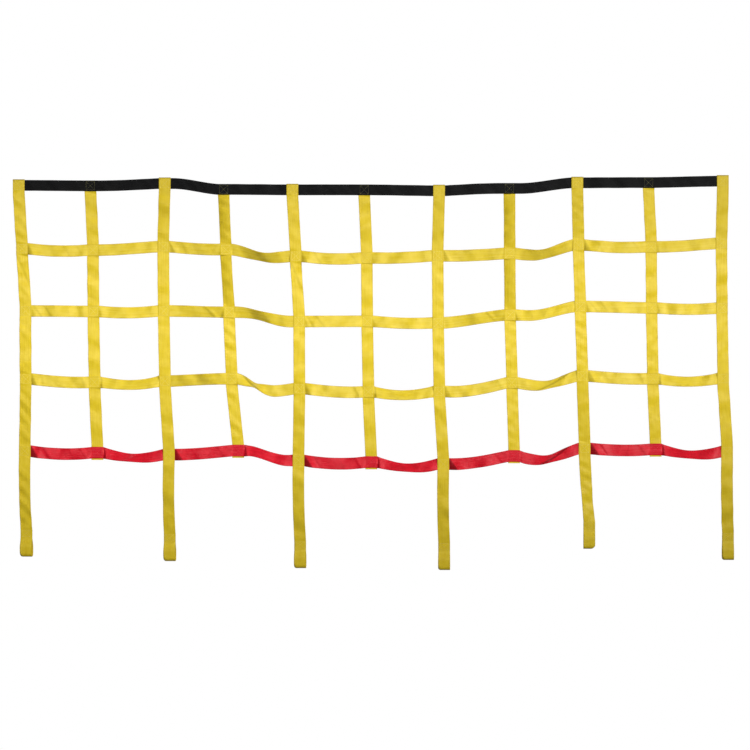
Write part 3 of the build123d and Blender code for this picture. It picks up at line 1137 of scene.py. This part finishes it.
@dataclass
class Sewing:
    """Thread: every stitch is its own small arched tube that dives into the webbing at both ends."""

    plan: NetPlan
    patch: float = 36.0
    seam_height: float = 27.0
    pitch: float = 4.4
    stitch: float = 3.7
    radius: float = 0.42
    arch: float = 0.55
    sunk: float = 0.3
    narrowed: float = 0.35

    RINGS = 5
    SIDES = 5
    # Y of the surfaces that thread lies on: the faces of the front ply, the middle ply and the rear ply.
    ON_FRONT, ON_MIDDLE_FRONT, ON_MIDDLE_REAR, ON_REAR = -1.5 * PLY, -0.5 * PLY, 0.5 * PLY, 1.5 * PLY

    def _template(self) -> np.ndarray:
        """One stitch along +X: rings of a tube whose middle line is a parabola, sunk and narrowed at its ends."""
        t = np.linspace(-1.0, 1.0, self.RINGS)
        angle = np.arange(self.SIDES) / self.SIDES * TURN
        thick = self.radius * (1.0 - self.narrowed * t**4)
        x = np.repeat(t[:, None] * self.stitch / 2, self.SIDES, axis=1)
        y = thick[:, None] * np.cos(angle)[None, :] - (self.arch * (1.0 - t**2) - self.sunk)[:, None]
        z = thick[:, None] * np.sin(angle)[None, :]
        return np.stack([x, y, z], axis=2)

    def _lines(self, width: float, height: float) -> list[tuple[np.ndarray, np.ndarray]]:
        """The straight lines of a box with a cross in it, as start and end points in X and Z."""
        w, h = width / 2, height / 2
        corners = [np.array(c) for c in ((-w, -h), (w, -h), (w, h), (-w, h))]
        sides = [(corners[n], corners[(n + 1) % 4]) for n in range(4)]
        return sides + [(corners[0], corners[2]), (corners[1], corners[3])]

    def patch_points(self, x: float, y: float, z: float, face: Face, height: float) -> np.ndarray:
        """Every stitch of one patch.

        Args:
            x: the patch's centre.
            y: the surface that it is sewn on.
            z: the height of the patch's centre.
            face: which way that surface faces.
            height: the box's height.

        Returns:
            Points by stitch, ring and side.
        """
        template = self._template()
        made = []
        for start, end in self._lines(self.patch, height):
            reach = np.linalg.norm(end - start)
            count = max(2, int(reach / self.pitch))
            share = (np.arange(count) + 0.5) / count
            middle = start[None, :] + (end - start)[None, :] * share[:, None]
            cos, sin = (end - start) / reach
            turned = np.empty((count, *template.shape))
            turned[..., 0] = middle[:, 0, None, None] + template[..., 0] * cos - template[..., 2] * sin
            turned[..., 2] = middle[:, 1, None, None] + template[..., 0] * sin + template[..., 2] * cos
            turned[..., 1] = template[..., 1]
            made.append(turned)
        points = np.concatenate(made)
        if face is Face.REAR:
            points = points * [-1.0, -1.0, 1.0]
        return points + [x, y, z]

    def _piece(
        self, name: str, points: np.ndarray, material: bpy.types.Material, node: str, body: str
    ) -> bpy.types.Object:
        """Make one piece of many closed stitches.

        Args:
            name: the piece's name.
            points: points by stitch, ring and side.
            material: the thread.
            node: the CAD node that it stands for.
            body: the body that it rides on.

        Returns:
            The piece.
        """
        count = len(points)
        per = self.RINGS * self.SIDES
        ring, side = np.meshgrid(np.arange(self.RINGS - 1), np.arange(self.SIDES), indexing="ij")
        after = (side + 1) % self.SIDES
        corner = [ring * self.SIDES + side, ring * self.SIDES + after]
        corner += [(ring + 1) * self.SIDES + after, (ring + 1) * self.SIDES + side]
        quads = np.stack(corner, axis=2).reshape(-1, 4)
        offsets = (np.arange(count) * per)[:, None, None]
        all_quads = (quads[None] + offsets).reshape(-1, 4).tolist()
        first = np.arange(self.SIDES)[::-1]
        last = np.arange(per - self.SIDES, per)
        caps = (np.stack([first, last])[None] + offsets).reshape(-1, self.SIDES).tolist()
        mesh = bpy.data.meshes.new(name)
        mesh.from_pydata((points.reshape(-1, 3) * MM).tolist(), [], all_quads + caps)
        mesh.polygons.foreach_set("use_smooth", np.ones(len(mesh.polygons), bool))
        mesh.update()
        piece = add_object(name, mesh)
        dress(piece, material)
        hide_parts(node)
        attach(piece, body)
        LOG.info("%s: %d stitches", name, count)
        return piece

    def build_row(
        self, row: int, body: str, lies: Sequence[Lie], name: str, material: bpy.types.Material
    ) -> bpy.types.Object:
        """Sew crossings of one horizontal strap, front and rear.

        Args:
            row: the strap's row.
            body: the body that the strap rides on.
            lies: which uprights' crossings.
            name: the piece's name.
            material: the thread.

        Returns:
            The piece.
        """
        patches = []
        for number in range(1, self.plan.count + 1):
            if self.plan.lie(number) not in lies:
                continue
            x, z = self.plan.crossing(row, number)
            long = self.plan.lie(number) is Lie.FRONT
            front = self.ON_FRONT if long else self.ON_MIDDLE_FRONT
            rear = self.ON_MIDDLE_REAR if long and row > 0 else self.ON_REAR
            patches.append(self.patch_points(x, front, z, Face.FRONT, self.patch))
            patches.append(self.patch_points(x, rear, z, Face.REAR, self.patch))
        points = np.concatenate(patches)
        return self._piece(name, points, material, f"{NetPlan.ROWS[row]}_stitching", body)

    def build_seam(self, number: int, material: bpy.types.Material) -> bpy.types.Object:
        """Sew the seam above one eye.

        Args:
            number: the upright whose tail it is.
            material: the thread.

        Returns:
            The piece.
        """
        node = f"tail_{number:02d}_stitching"
        low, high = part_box(node)
        x, z = (low.x + high.x) / 2 / MM, (low.z + high.z) / 2 / MM
        faces = ((Face.FRONT, self.ON_FRONT), (Face.REAR, self.ON_MIDDLE_REAR))
        points = np.concatenate([self.patch_points(x, y, z, face, self.seam_height) for face, y in faces])
        name = f"tail_{number:02d}_thread"
        return self._piece(name, points, material, node, f"tail_{number:02d}_body")


# ---- Studio ----


@dataclass
class Studio:
    """Camera, floor and soft light around a hanging net. Lengths are in metres and powers in watts."""

    view_width: float = 3.196
    lens: float = 100.0
    sensor: float = 36.0
    look_x: float = 0.018
    look_z: float = -0.789
    floor_z: float = -3.05
    floor_radius: float = 2.4
    floor_glow: float = 0.55
    seen_white: float = 1.0
    ambient: float = 0.16
    key_power: float = 35000.0
    key_distance: float = 30.0
    key_softness: float = 0.075
    strip_power: float = 8.4
    back_power: float = 90.0

    FLOOR_SIDES = 96
    WHITE = (1.0, 1.0, 1.0)

    def build(self) -> None:
        """Make everything that isn't the net, and set the view's colours."""
        self._camera()
        self._floor()
        self._world()
        self._beam(towards=(0.64, -0.76, 0.36), target=(-0.4, 0.0, -0.5), reach=(5.0, 1.8))
        strip = {"size": (4.6, 0.5), "place": (0.0, -3.2, 0.2), "target": (0.0, 0.0, -0.6), "spread": 40.0}
        back = {"size": (2.6, 2.6), "place": (-1.5, 3.4, 1.2), "target": (0.0, 0.0, -0.7), "spread": 180.0}
        self._area("strip", self.strip_power, **strip)
        self._area("back", self.back_power, **back)
        settings = bpy.context.scene.view_settings
        settings.view_transform = "Standard"
        settings.look = "None"
        settings.exposure = 0.0
        settings.gamma = 1.0

    def _camera(self) -> None:
        """A long lens, level and square to the net, that sees its whole width with a margin."""
        data = bpy.data.cameras.new("camera")
        data.lens = self.lens
        data.sensor_width = self.sensor
        data.clip_end = 100.0
        distance = self.lens * self.view_width / self.sensor
        camera = add_object("camera", data)
        camera.location = (self.look_x, -distance, self.look_z)
        camera.rotation_euler = (math.pi / 2, 0.0, 0.0)
        bpy.context.scene.camera = camera

    def _floor(self) -> None:
        """A plain pale round floor well below the net: a fan of one ring."""
        turn = np.arange(self.FLOOR_SIDES) / self.FLOOR_SIDES * TURN
        ring = np.stack([np.cos(turn), np.sin(turn)], axis=1) * self.floor_radius
        points = [(x, y, self.floor_z) for x, y in ring]
        mesh = bpy.data.meshes.new("floor")
        mesh.from_pydata(points, [], [list(range(len(points)))])
        floor = add_object("floor", mesh)
        graph = Graph("floor_white")
        place = graph.node("ShaderNodeTexCoord", {}, {}).outputs["Object"]
        base = graph.blend(graph.noise(place, 3.0, 2.0), rgba(self.WHITE, 0.90), rgba(self.WHITE, 0.86))
        constants = {"Specular IOR Level": 0.2, "Roughness": 0.8, "Emission Strength": self.floor_glow}
        mesh.materials.append(graph.finish(constants, {"Base Color": base, "Emission Color": base}))
        floor.visible_diffuse = floor.visible_glossy = False

    def _world(self) -> None:
        """White to the camera, and softer as a source of light."""
        world = bpy.data.worlds.new("studio")
        bpy.context.scene.world = world
        world.use_nodes = True
        tree = world.node_tree
        tree.nodes.clear()
        ray = tree.nodes.new("ShaderNodeLightPath")
        mix = tree.nodes.new("ShaderNodeMixShader")
        out = tree.nodes.new("ShaderNodeOutputWorld")
        tree.links.new(ray.outputs["Is Camera Ray"], mix.inputs[0])
        for socket, strength in ((1, self.ambient), (2, self.seen_white)):
            background = tree.nodes.new("ShaderNodeBackground")
            background.inputs["Strength"].default_value = strength
            background.inputs["Color"].default_value = rgba(self.WHITE)
            tree.links.new(background.outputs[0], mix.inputs[socket])
        tree.links.new(mix.outputs[0], out.inputs[0])

    def _light(self, data: bpy.types.Light, place: Sequence[float], target: Sequence[float]) -> bpy.types.Object:
        """Stand a light somewhere and turn it to a point."""
        start, end = Vector(place), Vector(target)
        light = add_object(data.name, data)
        light.location = start
        light.rotation_euler = (end - start).to_track_quat("-Z", "Y").to_euler()
        return light

    def _beam(self, towards: Sequence[float], target: Sequence[float], reach: tuple[float, float]) -> None:
        """The key: a far soft lamp whose beam is wider than tall, so that the tails hang out of its middle.

        Args:
            towards: the way to it from the target.
            target: the point that it faces.
            reach: half the beam's width and half its height where it meets the target.
        """
        data = bpy.data.lights.new("key", "SPOT")
        data.energy = self.key_power
        data.shadow_soft_size = self.key_softness * self.key_distance
        data.spot_size = 2 * math.atan(reach[0] / self.key_distance)
        data.spot_blend = 0.8
        end = Vector(target)
        lamp = self._light(data, end + Vector(towards).normalized() * self.key_distance, end)
        lamp.scale = (1.0, reach[1] / reach[0], 1.0)

    def _area(
        self,
        name: str,
        power: float,
        size: tuple[float, float],
        place: Sequence[float],
        target: Sequence[float],
        spread: float,
    ) -> None:
        """A soft box.

        Args:
            name: its name.
            power: how strong it is.
            size: its sides.
            place: where it stands.
            target: the point that it faces.
            spread: how wide its grid lets the light out, in degrees.
        """
        data = bpy.data.lights.new(name, "AREA")
        data.shape = "RECTANGLE"
        data.energy = power
        data.size, data.size_y = size
        data.spread = math.radians(spread)
        self._light(data, place, target)


# ---- How each strap hangs ----

# The fold line that runs from the upper corner beside a long upright down to the lower edge.
TUCK = Crease(30.0, 3.0, (12.0, 0.5), painted_sheen_and_shade=0.22)
DEEP_TUCK = Crease(38.0, 3.0, (14.0, 0.5), after=34.0, painted_sheen_and_shade=1.2)
# The crumple beside the crossing of a short upright.
CRUMPLE = Crease(16.0, 9.0, (3.0, 3.0), 8.0, 14.0, 0.7)
LIGHT_CRUMPLE = Crease(12.0, 7.0, (1.6, 1.6), 7.0, 14.0, 0.35)
# Single long folds, where a strap turns over, fades out of the light, rolls or lies askew.
TWIST = Crease(105.0, 40.0, (1.0, 1.0), 26.0, 26.0, 0.9)
FADE = Crease(150.0, 186.0, (4.0, 4.0), 60.0, 26.0, 0.2)
ROLL = Crease(100.0, 236.0, (1.5, 1.5), 30.0, 30.0, 0.6)
DEEP_ROLL = Crease(104.0, 226.0, (1.5, 1.5), 30.0, 30.0, 1.0)
SLANT = Crease(16.0, 150.0, (-3.0, -3.5), 38.0, 60.0, 0.15)


def streak(start: float, end: float, height: float) -> Crease:
    """A shallow fold, twice as steep before its line as after it, with a little painted shade on the slope before
    it.
    """
    return Crease(start, end, (0.6 * height, height), 10.0, 20.0, 0.05 * height)


def like(base: Span, *creases: Crease, **changes: Any) -> Span:
    """A span that hangs like another, with more creases across it and some values changed."""
    return replace(base, creases=base.creases + creases, **changes)


# Usual ways to hang. The first six start at a long upright, and the next four mostly end at one.
TUCKED = Span(lean=10, pivot=0.9, lean_over=1.6, near=0.45, far=0.6, pinch=(0, 1), creases=(TUCK,))
PINCHED = like(TUCKED, far=0.9, pinch=(0, 2))
SMOOTH = Span(lean=10, pivot=0.9, lean_over=2, near=0.45, far=0.5)
CUFFED = Span(lean=9, pivot=0.9, lean_over=2, near=0.45, far=0.6, creases=(DEEP_TUCK,))
DEEP_CUFFED = like(CUFFED, far=0.8, pinch=(0, 1))
BACKED = Span(lean=-16, pivot=0.8, lean_at=0.75, near=0.45, far=0.7)
SLACK = Span(lean=10, pivot=0.8, near=0.5, far=0.4)
TURNED = like(SLACK, lean=16, far=0.5)
CRUMPLED = Span(lean=34, pivot=0.8, near=0.9, far=0.7, pinch=(2, 0), creases=(LIGHT_CRUMPLE,))
FOLDED = Span(
    sag=18, low=0.52, lean=48, pivot=0.8, lean_at=0.45, lean_over=0.7,
    near=0.8, far=0.8, pinch=(4, 0), creases=(CRUMPLE,),
)
ROLLED = Span(
    sag=18, low=0.42, fall=(0.3, 1.05), lean=51, lean_over=0.45,
    near=0.9, far=0.9, out=1, pinch=(2, 0), creases=(DEEP_ROLL,),
)
FLAT = Span(lean=2, bow=0.2)

# Each table gives the ten spans of a strap, from left to right.
HEADER_SPANS = (
    FLAT,
    like(FLAT, sag=2, lean=3),
    like(FLAT, fall=(0.05, 1.1), lean=-4),
    FLAT,
    like(FLAT, lean=-2),
    FLAT,
    like(FLAT, sag=-2),
    like(FLAT, fall=(0.1, 1.1), lean=4),
    FLAT,
    like(FLAT, lean=3),
)
CROSS_1_SPANS = (
    like(TUCKED, streak(-14, -44, 2.0), streak(-70, -96, 1.5), sag=7),
    like(SLACK, sag=2),
    like(SLACK, TUCK, streak(80, 60, 1.2), sag=3, lean=-12, near=0.45, far=0.5),
    Span(sag=8, fall=(0.0, 0.72), lean=-44, lean_over=0.5, near=0.9, far=0.8, pinch=(1, 0)),
    like(TUCKED, streak(-10, -46, 2.2), streak(90, 60, 1.6), sag=8),
    like(SLACK, sag=4),
    like(SLACK, TUCK, streak(-40, -60, 1.2), sag=3, lean=-8, near=0.45),
    Span(sag=9, fall=(0.3, 1.05), lean=-34, lean_over=0.5, near=0.8, far=0.9),
    like(TUCKED, streak(-18, -52, 2.0), sag=6),
    like(SLACK, sag=3, lean=12),
)
CROSS_2_SPANS = (
    like(SMOOTH, streak(52, 14, 2.6), streak(96, 58, 2.4)),
    like(TURNED, sag=7),
    like(BACKED, streak(-30, -80, 3.0), streak(40, 66, 1.2), lean=-20, lean_over=0.8, far=0.9),
    Span(sag=3, fall=(0.1, 1.0), lean=-38, lean_at=0.4, lean_over=0.5, near=0.8, far=0.6),
    like(SMOOTH, streak(46, 14, 2.4), streak(90, 52, 2.6)),
    like(TURNED, sag=5),
    like(BACKED, streak(-34, -78, 2.6), sag=1),
    Span(sag=4, fall=(0.2, 1.1), lean=25, pivot=0.6, near=0.6, far=0.7),
    like(SMOOTH, streak(56, 18, 2.4), streak(100, 66, 2.0)),
    like(TURNED, sag=6),
)
CROSS_3_SPANS = (
    like(PINCHED, streak(-12, -30, 2.4), streak(62, 44, 1.6), sag=5),
    like(CRUMPLED, sag=14, low=0.55),
    Span(sag=-1, lean=-16, pivot=-0.8, near=0.4, far=0.5, creases=(FADE,)),
    Span(
        sag=12, fall=(0.0, 0.7), lean=66, lean_at=0.32, lean_over=0.36, near=1.5, far=1.0, out=1, creases=(TWIST,)
    ),
    like(PINCHED, streak(-14, -34, 2.4), streak(70, 50, 1.4), sag=6),
    like(CRUMPLED, sag=15),
    like(TUCKED, streak(-14, -40, 1.6), sag=11, pivot=0.8, lean_over=1),
    Span(sag=14, fall=(0.3, 1.05), lean=48, lean_at=0.55, lean_over=0.5, near=0.8, far=0.9, creases=(ROLL,)),
    like(PINCHED, streak(-12, -32, 2.2), streak(60, 36, 1.4), sag=4, pivot=0.8, lean_over=1, far=0.8),
    like(CRUMPLED, sag=13, lean=32),
)
BOTTOM_SPANS = (
    like(DEEP_CUFFED, streak(88, 60, 2.4), streak(-16, -50, 2.6), streak(-74, -96, 1.6), sag=9),
    FOLDED,
    like(CUFFED, streak(110, 76, 1.6), streak(-30, -64, 2.0), sag=3),
    Span(
        sag=1, fall=(0.05, 0.9), lean=34, pivot=0.6, lean_at=0.4, near=0.7, far=0.6, pinch=(2, 0), creases=(CRUMPLE,)
    ),
    like(DEEP_CUFFED, streak(74, 50, 2.2), streak(-18, -46, 2.8), streak(-90, -110, 1.8), sag=10),
    like(FOLDED, sag=20),
    like(CUFFED, streak(96, 74, 1.8), streak(-20, -58, 2.2), sag=8),
    ROLLED,
    like(DEEP_CUFFED, streak(80, 48, 2.6), streak(-14, -48, 2.4), streak(-100, -84, 1.6), sag=6),
    FOLDED,
)

# Hanging styles of the uprights: five spans for a long one, from the header down, and four for a short one.
TAIL = Span(sag=3, lean=-9, pivot=-0.9, lean_at=0.55, lean_over=0.6, near=0.25, far=0.3)
STYLE_A = (
    Span(lean=9, pivot=0.7, near=0.5, far=0.5),
    Span(lean=20, pivot=-0.7, lean_at=0.35, lean_over=0.6, near=0.8, far=0.5, creases=(SLANT,)),
    Span(lean=10, pivot=0.7),
    Span(lean=-6, pivot=0.7),
    TAIL,
)
STYLE_B = (
    Span(lean=8, pivot=-0.8, near=0.6, lean_at=0.3),
    Span(lean=9),
    Span(lean=8),
    Span(lean=5),
)
STYLE_C = (
    Span(lean=-5),
    Span(lean=7),
    Span(lean=7),
    Span(lean=1, pivot=0.7, lean_at=0.7, near=0.4, far=0.6),
    TAIL,
)
STYLE_D = (
    Span(lean=-16, near=0.6, far=0.6, bow=3.5),
    Span(lean=-18, near=0.6, far=0.4, bow=2.5),
    Span(lean=10),
    Span(lean=10),
)
STYLE_E = (
    Span(lean=-6, pivot=0.7, near=0.5, far=0.5),
    Span(lean=10, pivot=-0.7, near=0.6),
    Span(lean=10),
    Span(lean=-8, pivot=0.7),
    Span(sag=2, lean=18, pivot=-0.6, lean_at=0.72, lean_over=0.4, near=0.3, far=0.3),
)
UPRIGHT_STYLES = (STYLE_A, STYLE_B, STYLE_C, STYLE_D) * 2 + (STYLE_E, STYLE_B, STYLE_C)
# The upright whose eye is crushed at its other corner, and further: that corner's side and its radius.
CRUSHED_UPRIGHT = 9
CRUSHED_CORNER = (1.0, 20.0)


def main() -> None:
    """Build the net around the frame, piece by piece, and say what was made."""
    logging.basicConfig(level=logging.INFO, format="%(name)s %(message)s")
    Studio().build()
    plan = NetPlan()
    yellow, black, red = YELLOW.material(), BLACK.material(), RED.material()
    threads = (OLIVE_THREAD, YELLOW_THREAD, RED_THREAD)
    olive_thread, yellow_thread, red_thread = (finish.material() for finish in threads)

    rows = (
        (CrossStrap(0, "header_strap", "header", "webbing_black", BLACK, HEADER_SPANS, plan, ripple=0.7), black),
        (CrossStrap(1, "cross_strap_1", "upper_net", "webbing_yellow", YELLOW, CROSS_1_SPANS, plan), yellow),
        (CrossStrap(2, "cross_strap_2", "upper_net", "webbing_yellow", YELLOW, CROSS_2_SPANS, plan), yellow),
        (CrossStrap(3, "cross_strap_3", "lower_net", "webbing_yellow", YELLOW, CROSS_3_SPANS, plan), yellow),
        (CrossStrap(4, "bottom_strap", "lower_net", "webbing_red", RED, BOTTOM_SPANS, plan), red),
    )
    for strap, material in rows:
        strap.build(material)

    for number, style in enumerate(UPRIGHT_STYLES, 1):
        upright = Upright(number, style, plan)
        if number == CRUSHED_UPRIGHT:
            upright.corner_side, upright.corner = CRUSHED_CORNER
        upright.build(yellow)

    sewing = Sewing(plan)
    both, front, rear = (Lie.FRONT, Lie.REAR), (Lie.FRONT,), (Lie.REAR,)
    sewing.build_row(0, "header", rear, "header_thread", olive_thread)
    sewing.build_row(0, "header", front, "header_fold_thread", yellow_thread)
    for row, body in ((1, "upper_net"), (2, "upper_net"), (3, "lower_net")):
        sewing.build_row(row, body, both, f"cross_{row}_thread", yellow_thread)
    sewing.build_row(4, "lower_net", rear, "bottom_thread", red_thread)
    sewing.build_row(4, "lower_net", front, "bottom_fold_thread", yellow_thread)
    for number in range(1, plan.count + 1, 2):
        sewing.build_seam(number, yellow_thread)

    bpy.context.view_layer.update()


if __name__ == "__main__":
    main()
